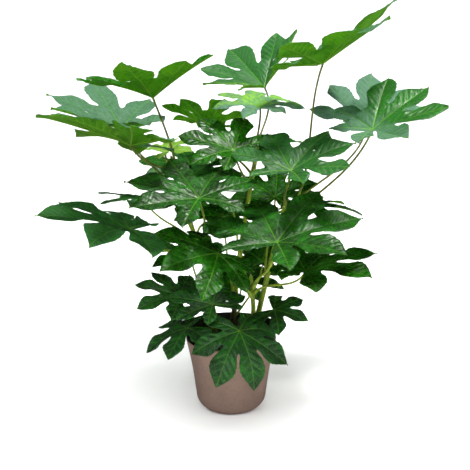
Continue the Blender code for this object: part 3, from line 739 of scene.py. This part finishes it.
def make_cane(name, bark, seed):
    """A knobbed cane with a scar where each old leaf stood and a bud at its top."""
    draw = random.Random(seed)
    foot_radius, top_radius, _ = CANES[name]
    route = cane_route(name, CANE_FINE_RINGS)
    above = route[1:]
    length = sum((b - a).length for a, b in zip(above, above[1:]))
    scars = []
    spot = FIRST_SCAR
    while spot < length:
        scars.append((spot, draw.uniform(0, 2 * pi)))
        spot += draw.uniform(*SCAR_SPACING)
    radii = []
    marks = []
    done = 0.0
    for i, centre in enumerate(route):
        if i > 1:
            done += (centre - route[i - 1]).length
        share = max(0, i - 1) / CANE_FINE_RINGS
        nearest = min(abs(done - s) for s, _ in scars)
        ridge = max(0.0, 1 - nearest / SCAR_HALF_HEIGHT)
        radius = foot_radius + (top_radius - foot_radius) * share
        radii.append(radius * (1 - SCAR_SWELLING + SCAR_SWELLING * ridge) if i else radius * 0.95)
        marks.append(ridge * SCAR_PALENESS)
    direction = (route[-1] - route[-2]).normalized()
    for step, shrink in BUD_STEPS:
        route.append(above[-1] + direction * step)
        radii.append(top_radius * shrink)
        marks.append(BUD_PALENESS)
    points, quads, caps = tube(route, radii, CANE_SIDES, Vector((1, 0, 0)))
    piece = mesh_object(name + "_fine", points, [quads, caps], [bark])
    values = [m * draw.uniform(0.7, 1.0) for m in marks for _ in range(CANE_SIDES)] + [0, BUD_PALENESS]
    point_attribute(piece, "scar", "FLOAT", values)
    point_attribute(piece, "age", "FLOAT", np.full(len(values), CANE_AGES.get(name, 0.0)))
    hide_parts(name)
    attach(piece, "root")


# The leaves: a fan of lobes on a curved stalk.


def leaf_axes(heading, pitch, roll):
    """The blade's own axes: forward along the middle lobe, left, and up from its top face."""
    h, p, r = radians(heading), radians(pitch), radians(roll)
    forward = Vector((cos(p) * cos(h), cos(p) * sin(h), sin(p)))
    level_left = Vector((-sin(h), cos(h), 0))
    level_up = forward.cross(level_left)
    return forward, level_left * cos(r) + level_up * sin(r), level_up * cos(r) - level_left * sin(r)


def lobes_of(leaf, seed):
    """Each lobe's angle, length, start slope, bend, sweep and wave, varied by a seeded draw."""
    draw = random.Random(seed)
    half = leaf.lobes // 2
    lobes = []
    for k in range(-half, half + 1):
        lobes.append({
            "angle": radians(k * LOBE_SPACING[leaf.lobes] + draw.uniform(-3, 3)),
            "length": leaf.reach * LOBE_LENGTHS[abs(k)] * draw.uniform(0.95, 1.04),
            "rise": radians(leaf.cup + draw.uniform(-6, 6)),
            "bend": radians(max(4.0, leaf.droop + draw.uniform(-9, 9))),
            "sweep": radians(draw.uniform(-5, 5)),
            "keel": draw.uniform(-0.05, 0.30),
            "wave": draw.uniform(0, 2 * pi),
        })
    return lobes


def rib_points(lobe, share):
    """Points on the lobe's midrib in the blade's own axes. The rib is an arc that rises and bends over."""
    rise, bend = lobe["rise"], lobe["bend"]
    out = lobe["length"] * (sin(rise) - np.sin(rise - bend * share)) / bend
    high = lobe["length"] * (np.cos(rise - bend * share) - cos(rise)) / bend
    angle = lobe["angle"] + lobe["sweep"] * share * share
    return np.stack([out * np.cos(angle), out * np.sin(angle), high], -1)


def across_rib(lobe, share):
    """The level direction to the left of the midrib."""
    along = rib_points(lobe, share + 0.01) - rib_points(lobe, share - 0.01)
    across = np.stack([-along[..., 1], along[..., 0], np.zeros_like(share)], -1)
    return across / np.linalg.norm(across, axis=-1, keepdims=True)


OUTLINE_CURVE = smooth_curve([Vector(p) for p in LOBE_OUTLINE], 80)
OUTLINE_SHARES = [p.x for p in OUTLINE_CURVE]
OUTLINE_WIDTHS = [max(0.0, p.y) for p in OUTLINE_CURVE]


def smooth_step(value):
    value = np.clip(value, 0, 1)
    return value * value * (3 - 2 * value)


def teeth(lobe, side, share):
    """Coarse shallow teeth along the outer part of the margin, each leaning towards the tip."""
    phase = (share * TEETH / (1 - SINUS) + lobe["wave"] * 0.7 + 0.35 * side) % 1.0
    saw = np.where(phase < TOOTH_RISE, phase / TOOTH_RISE, (1 - phase) / (1 - TOOTH_RISE))
    room = smooth_step((share - 0.50) / 0.12) * smooth_step((1.0 - share) / 0.05)
    return 1 + TOOTH_DEPTH * (saw - TOOTH_LEVEL) * room


def edge_points(lobe, share, side, reach, width, fine=True):
    """The lobe's edge on one side without its ripple, and the ripple's height."""
    rib = rib_points(lobe, share)
    tau = (share - SINUS) / (1 - SINUS)
    outline = np.interp(tau, OUTLINE_SHARES, OUTLINE_WIDTHS)
    reach_out = width * outline * (lobe["length"] / reach) ** LOBE_SLIMMING
    if fine:
        reach_out = reach_out * teeth(lobe, side, share)
        beyond = share - SINUS
        opening = (1 - np.exp(-beyond / SINUS_OPENING)) * np.exp(-beyond / SINUS_FADE)
        reach_out = reach_out - SINUS_ROUNDING * reach * opening
    swell = WAVE * reach * np.minimum(1.0, WAVE_GROWTH * tau)
    ripple = swell * np.sin(lobe["wave"] + side * WAVE_SHIFT + WAVE_TURNS * share)
    frill = FRILL * reach * smooth_step(tau * 3) * np.sin(lobe["wave"] * 3 + side + FRILL_TURNS * share)
    edge = rib + across_rib(lobe, share) * (side * reach_out)[..., None]
    level = edge.copy()
    level[..., 2] += lobe["keel"] * reach_out
    return level, ripple + (frill if fine else 0.0)


def blade_surface(leaf, seed):
    """The blade's middle surface as one grid per lobe: points, quads and their blade coordinates."""
    reach = leaf.reach
    lobes = lobes_of(leaf, seed)
    width = LOBE_WIDTH[leaf.lobes] * reach
    at_sinus = np.array([SINUS])
    centres = [rib_points(lobe, at_sinus)[0] for lobe in lobes]
    sinuses = []
    for low, high in zip(centres, centres[1:]):
        middle = (low + high) / 2
        middle = middle * (np.linalg.norm(low) / np.linalg.norm(middle))
        sinuses.append(middle + np.array([0, 0, PLEAT * reach]))
    outer = []
    for lobe, side in ((lobes[0], -1), (lobes[-1], 1)):
        level, ripple = edge_points(lobe, at_sinus, side, reach, width, fine=False)
        level[..., 2] += ripple
        outer.append(level[0])
    notch = np.array([-NOTCH * reach, 0, 0])

    inner = SINUS * (np.arange(INNER_ROWS) / INNER_ROWS) ** ROW_CROWDING
    beyond = SINUS + (1 - SINUS) * (np.arange(OUTER_ROWS + 1) / OUTER_ROWS)
    columns = np.array([-c for c in reversed(COLUMNS[1:])] + list(COLUMNS))
    points, quads, coords, start = [], [], [], 0
    last = len(lobes) - 1
    for k, lobe in enumerate(lobes):
        rows_in = rib_points(lobe, inner)
        rows_out = rib_points(lobe, beyond)
        rib = np.concatenate([rows_in, rows_out])
        share = np.concatenate([inner, beyond])
        grid = np.zeros((len(share), len(columns), 3))
        for c, column in enumerate(columns):
            side = 1 if column > 0 else -1
            u = abs(column)
            meet = None
            if side < 0 and k > 0:
                meet = sinuses[k - 1]
            if side > 0 and k < last:
                meet = sinuses[k]
            if meet is not None:
                border = meet[None, :] * (inner / SINUS)[:, None]
            else:
                end = outer[0] if side < 0 else outer[1]
                shoulder = end * np.array([SHOULDER_REACH, SHOULDER_SPREAD, SHOULDER_SPREAD])
                t = (inner / SINUS)[:, None]
                border = notch * (1 - t) * (1 - 2 * t) + shoulder * 4 * t * (1 - t) + end * t * (2 * t - 1)
                meet = end
            sag = (4 * (u - u * u)) * SAG * reach
            grid[:len(inner), c] = rows_in * (1 - u) + border * u
            grid[:len(inner), c, 2] += sag * (inner / SINUS)
            level, ripple = edge_points(lobe, beyond, side, reach, width)
            join = smooth_step((beyond - SINUS) / SINUS_BLEND)[:, None]
            level = (meet + (rows_out - rows_out[0])) * (1 - join) + level * join
            opening = (1 - np.exp(-(beyond - SINUS) / SINUS_OPENING)) * (1 - join[:, 0])
            level = level - across_rib(lobe, beyond) * (side * SINUS_ROUNDING * reach * opening)[:, None]
            grid[len(inner):, c] = rows_out * (1 - u) + level * u
            grid[len(inner):, c, 2] += ripple * join[:, 0] * u ** 1.5
            grid[len(inner):, c, 2] += sag * (1 - beyond) / (1 - SINUS)
        aside = np.linalg.norm(grid - rib[:, None, :], axis=2)
        along = np.repeat((share * lobe["length"])[:, None], len(columns), 1)
        points.append(grid.reshape(-1, 3))
        shares = np.repeat(np.abs(columns)[None], len(share), 0)
        coords.append(np.stack([along, aside, shares], -1).reshape(-1, 3))
        rows, cols = len(share), len(columns)
        index = np.arange(rows * cols).reshape(rows, cols) + start
        corners = [index[:-1, :-1], index[1:, :-1], index[1:, 1:], index[:-1, 1:]]
        quads.append(np.stack(corners, -1).reshape(-1, 4))
        start += rows * cols
    return np.concatenate(points), np.concatenate(quads), np.concatenate(coords)


def weld(points, quads, coords):
    """Joins grid points that fall together and drops what collapses, leaving triangles."""
    keys = np.round(points / WELD_STEP).astype(np.int64)
    _, first, inverse = np.unique(keys, axis=0, return_index=True, return_inverse=True)
    inverse = inverse.ravel()
    triangles = np.concatenate([quads[:, [0, 1, 2]], quads[:, [0, 2, 3]]])
    triangles = inverse[triangles]
    fine = ((triangles[:, 0] != triangles[:, 1]) & (triangles[:, 1] != triangles[:, 2])
            & (triangles[:, 2] != triangles[:, 0]))
    return points[first], triangles[fine], coords[first]


def crinkle(points, seed):
    """Small uneven swellings of the blade between its veins, from a few seeded waves."""
    draw = random.Random(seed * 31)
    total = np.zeros(len(points))
    for _ in range(CRINKLE_WAVES):
        way, phase = draw.uniform(0, 2 * pi), draw.uniform(0, 2 * pi)
        length = draw.uniform(*CRINKLE_LENGTHS)
        total += np.sin((points[:, 0] * cos(way) + points[:, 1] * sin(way)) * 2 * pi / length + phase)
    return total * CRINKLE / CRINKLE_WAVES ** 0.5


def painted_lightness_of(name, height):
    """How much painted light a leaf's green gets, from 0, painted shade low in the plant, to 1 high up."""
    share = min(1.0, max(0.0, (height - PAINTED_SHADE_BELOW_Z) / PAINTED_LIGHTENING_HEIGHT))
    return min(1.0, share ** PAINTED_LIGHTENING_POWER * PAINTED_LIGHTNESS_FACTORS.get(name, 1.0))


def stalk_course(leaf, forward, up):
    """The stalk's curve from the blade to its cane, and its radius at each step."""
    join = Vector(leaf.place)
    centre, grain, cane_radius = cane_at(leaf.cane, leaf.height)
    away = join - centre
    away = (away - grain * away.dot(grain)).normalized()
    foot = centre + away * (cane_radius + GAP)
    leaving = -(forward * cos(radians(STALK_ENTRY)) + up * sin(radians(STALK_ENTRY)))
    growing = away * cos(radians(STALK_LEAN)) + UP * sin(radians(STALK_LEAN))
    pull = (join - foot).length * STALK_PULL
    a, b, c, d = join, join + leaving * pull, foot + growing * pull, foot
    route = []
    radii = []
    for i in range(STALK_STEPS + 1):
        t = i / STALK_STEPS
        route.append(a * (1 - t) ** 3 + b * 3 * t * (1 - t) ** 2 + c * 3 * t * t * (1 - t) + d * t ** 3)
        radius = STALK_TOP_RADIUS + (STALK_FOOT_RADIUS - STALK_TOP_RADIUS) * t
        flare = STALK_TOP_FLARE * max(0.0, 1 - i / 2.0)
        radii.append(radius * (1 + flare + STALK_FOOT_FLARE * max(0.0, (t - 0.9) / 0.1)))
    route[0] = join - up * (SHEET / 2) * 0.5
    return route, radii


def make_leaf(name, leaf, seed, materials):
    """One leaf: the blade's two faces with their relief, its rim, and the stalk that carries it."""
    reach = leaf.reach
    forward, left, up = leaf_axes(leaf.heading, leaf.pitch, leaf.roll)
    points, triangles, coords = weld(*blade_surface(leaf, seed))
    frame_axes = np.array([forward, left, up])
    middle = points @ frame_axes + np.array(Vector(leaf.place))
    one, two, three = (middle[triangles[:, i]] for i in range(3))
    flat = np.cross(two - one, three - one)
    normals = np.zeros_like(middle)
    for i in range(3):
        np.add.at(normals, triangles[:, i], flat)
    normals /= np.maximum(np.linalg.norm(normals, axis=1, keepdims=True), 1e-12)
    if (normals @ np.array(up)).mean() < 0:
        normals = -normals
        triangles = triangles[:, ::-1]

    along, aside, share = coords.T
    slant = along - aside * VEIN_SLANT
    phase = np.abs((slant / VEIN_PITCH) % 1.0 - 0.5) * 2
    fade = np.clip(aside / QUILT_FREE, 0, 1) * (1 - smooth_step((share - 0.75) / 0.25))
    quilt = (QUILT * (0.5 - phase ** 2) + crinkle(points, seed)) * fade
    rib = np.exp(-(aside / RIB_HALF_WIDTH) ** 2) * np.clip(1.15 - along / reach, 0.1, 1.0)
    half = SHEET / 2
    count = len(middle)
    top = middle + normals * (half + quilt - RIB_GROOVE * RIB_HEIGHT * rib)[:, None]
    under = middle - normals * (half - quilt + RIB_HEIGHT * rib)[:, None]
    directed = np.concatenate([triangles[:, [0, 1]], triangles[:, [1, 2]], triangles[:, [2, 0]]])
    forwards = directed[:, 0].astype(np.int64) * count + directed[:, 1]
    backwards = directed[:, 1].astype(np.int64) * count + directed[:, 0]
    border = directed[~np.isin(forwards, backwards)]
    rim = np.stack([border[:, 1], border[:, 0], border[:, 0] + count, border[:, 1] + count], 1)

    route, radii = stalk_course(leaf, forward, up)
    stalk_points, stalk_quads, stalk_caps = tube(route, radii, STALK_SIDES, forward)
    base = 2 * count
    everything = np.concatenate([top, under, np.array(stalk_points)])
    faces = [triangles, triangles[:, ::-1] + count, rim, stalk_quads + base, stalk_caps + base]
    slots = np.concatenate([np.full(len(f), s) for f, s in zip(faces, (0, 1, 0, 2, 2))])
    piece = mesh_object(name + "_fine", everything, faces, materials, slots)
    blade = np.concatenate([coords, coords, np.zeros((len(stalk_points), 3))])
    point_attribute(piece, "blade", "FLOAT_VECTOR", blade)
    # How much painted light, against painted shade, the leaf gets from its height.
    point_attribute(piece, "painted_lightness", "FLOAT", np.full(len(everything), painted_lightness_of(name, leaf.place[2])))
    # Painted lime patches of light on one half of some leaves.
    way = PAINTED_LIGHT_PATCHES.get(name, 0)
    painted_light_patch = abs(way) * smooth_step(0.4 + 6 * np.sign(way) * points[:, 0] / reach)
    # The share of painted sheen at each point; on some leaves most of it is lost ahead of the stalk.
    painted_sheen = np.full(count, PAINTED_SHEEN_SHARES.get(name, 0.0))
    if name in HALF_PAINTED_SHEEN:
        painted_sheen *= 1 - HALF_PAINTED_SHEEN_LOSS * smooth_step(4 * points[:, 0] / reach)
    point_attribute(piece, "painted_sheen", "FLOAT", np.concatenate([painted_sheen, painted_sheen, np.zeros(len(stalk_points))]))
    point_attribute(piece, "painted_light_patch", "FLOAT", np.concatenate([painted_light_patch, painted_light_patch, np.zeros(len(stalk_points))]))
    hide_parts(name)
    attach(piece, "root")


def make_plant():
    bark = cane_bark()
    for seed, name in enumerate(CANES, start=40):
        make_cane(name, bark, seed)
    stalk = stalk_green()
    mature = [leaf_top("leaf_top", *MATURE_TOP, MATURE_ROUGHNESS),
              leaf_under("leaf_under", *MATURE_UNDER), stalk]
    young = [leaf_top("young_top", *YOUNG_TOP, YOUNG_ROUGHNESS),
             leaf_under("young_under", *YOUNG_UNDER), stalk]
    for seed, (name, leaf) in enumerate(LEAVES.items(), start=1):
        make_leaf(name, leaf, seed, young if leaf.reach < YOUNG_REACH else mature)


# Stage, light and camera.


def make_stage():
    """A pale floor that sweeps up into a pale backdrop."""
    profile = [(FLOOR_FRONT, 0.0), (FLOOR_BACK, 0.0)]
    for i in range(1, SWEEP_STEPS + 1):
        turn = pi / 2 * i / SWEEP_STEPS
        profile.append((FLOOR_BACK + SWEEP_RADIUS * sin(turn), SWEEP_RADIUS - SWEEP_RADIUS * cos(turn)))
    profile.append((FLOOR_BACK + SWEEP_RADIUS, BACKDROP_TOP))
    points = [(x, y, z) for y, z in profile for x in (-STAGE_HALF_WIDTH, STAGE_HALF_WIDTH)]
    faces = np.array([(2 * i, 2 * i + 1, 2 * i + 3, 2 * i + 2) for i in range(len(profile) - 1)])
    floor = mesh_object("studio_floor", points, [faces], [plain_stage()])
    floor.visible_glossy = False
    return floor


def studio_lamp(name, kind, place, target, power, colour=(1, 1, 1)):
    data = bpy.data.lights.new(name, kind)
    data.energy = power
    data.color = colour
    lamp = bpy.data.objects.new(name, data)
    lamp.location = place
    lamp.rotation_euler = (Vector(target) - Vector(place)).to_track_quat("-Z", "Y").to_euler()
    lamp.visible_camera = False
    bpy.context.collection.objects.link(lamp)
    return lamp


def softbox(name, place, target, size, power, colour):
    lamp = studio_lamp(name, "AREA", place, target, power, colour)
    lamp.data.shape = "RECTANGLE"
    lamp.data.size, lamp.data.size_y = size


def make_lights(floor):
    """Three softboxes for the plant, one lamp for the floor alone, and white behind for the camera."""
    world = bpy.data.worlds.new("studio")
    bpy.context.scene.world = world
    world.use_nodes = True
    back = world.node_tree.nodes["Background"]
    back.inputs["Color"].default_value = (1, 1, 1, 1)
    back.inputs["Strength"].default_value = 1.0
    world.cycles_visibility.diffuse = False
    world.cycles_visibility.glossy = False
    softbox("softbox_top", place=(0.5, -0.5, 2.9), target=(0, 0, 0.6), size=(0.6, 0.5),
            power=82, colour=(1.0, 1.0, 0.97))
    softbox("softbox_front", place=(-1.1, -2.3, 1.9), target=(0, 0, 0.5), size=(0.6, 0.6),
            power=32, colour=(0.96, 0.98, 1.0))
    softbox("softbox_right", place=(2.2, -1.6, 1.5), target=(0, 0, 0.5), size=(1.4, 1.6),
            power=15, colour=(0.96, 0.98, 1.0))
    sun = studio_lamp("floor_wash", "SUN", place=(0, -1.4, 3.0), target=(0, 0, 0), power=4.4)
    sun.data.angle = radians(75)
    lit = bpy.data.collections.new("lit_by_floor_wash")
    lit.objects.link(floor)
    sun.light_linking.receiver_collection = lit


def make_camera():
    """The picture's camera: 600 picture points of focal length on a picture of 470."""
    data = bpy.data.cameras.new("camera")
    data.sensor_width = SENSOR_WIDTH
    data.lens = SENSOR_WIDTH * FOCAL_POINTS / PICTURE_POINTS
    camera = bpy.data.objects.new("camera", data)
    camera.location = CAMERA_PLACE
    camera.rotation_euler = (radians(90 - CAMERA_DIP), 0, 0)
    bpy.context.collection.objects.link(camera)
    bpy.context.scene.camera = camera
    bpy.context.scene.view_settings.view_transform = "Standard"


make_pots()
make_soil()
make_plant()
make_lights(make_stage())
make_camera()
